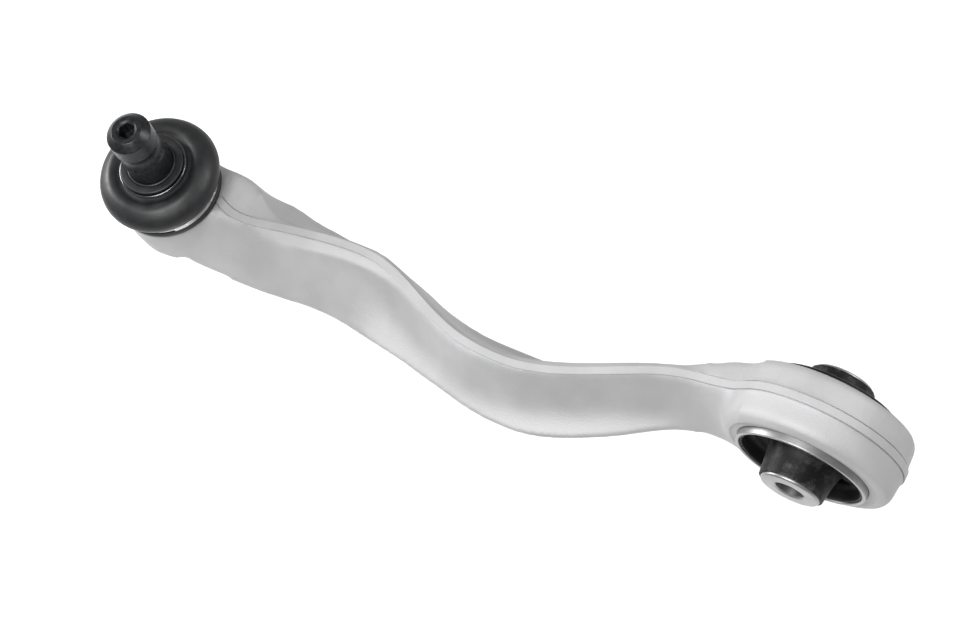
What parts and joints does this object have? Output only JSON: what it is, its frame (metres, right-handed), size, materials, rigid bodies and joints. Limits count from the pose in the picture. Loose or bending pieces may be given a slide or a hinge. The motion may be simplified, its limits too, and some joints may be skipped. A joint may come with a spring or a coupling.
{
  "type": "suspension control arm",
  "caption": "Curved forged control arm with a ball joint at one end and a rubber bush at the other.",
  "frame": {"origin": "centre of the bush's bolt bore", "axes": "+Y along the bush bore, +Z parallel to the ball pin and pointing the way the pin stands, -X towards the ball joint"},
  "size_m": [0.3036, 0.0566, 0.0852],
  "materials": {
    "arm_forging": "satin blasted forging",
    "housing_cover": "satin",
    "ball_seat": "matt",
    "ball_pin": "dark phosphated, satin",
    "dust_boot": "matt",
    "clamp_ring": "bright spring steel",
    "black_ring": "black coated",
    "support_ring": "satin",
    "bush_outer_sleeve": "machined, bright",
    "bush_rubber": "satin",
    "bush_inner_sleeve": "machined, satin"
  },
  "bodies": {
    "arm": {"arm_forging": "arm_forging", "housing_cover": "housing_cover", "dust_boot": "dust_boot", "boot_lower_clamp_ring": "clamp_ring", "bush_outer_sleeve": "bush_outer_sleeve", "bush_rubber": "bush_rubber"},
    "bearing_shell": {"ball_seat": "ball_seat"},
    "boot_collar": {"boot_upper_clamp_ring": "black_ring", "boot_support_ring": "support_ring"},
    "pin": {"ball_pin": "ball_pin"},
    "bush_inner": {"bush_inner_sleeve": "bush_inner_sleeve"}
  },
  "joints": [
    {"name": "ball_azimuth", "type": "hinge", "parent": "arm", "child": "bearing_shell", "pos_m": [-0.25, -0.007, 0], "axis": [0, 0, 1], "continuous": true},
    {"name": "ball_tilt", "type": "hinge", "parent": "bearing_shell", "child": "boot_collar", "pos_m": [-0.25, -0.007, 0], "axis": [0, 1, 0], "range_deg": [-20, 20], "deforming": ["dust_boot"]},
    {"name": "ball_spin", "type": "hinge", "parent": "boot_collar", "child": "pin", "pos_m": [-0.25, -0.007, 0], "axis": [0, 0, 1], "continuous": true},
    {"name": "bush_torsion", "type": "hinge", "parent": "arm", "child": "bush_inner", "pos_m": [0, 0, 0], "axis": [0, 1, 0], "range_deg": [-20, 20], "stiffness_Nm_per_rad": 60, "deforming": ["bush_rubber"]}
  ]
}
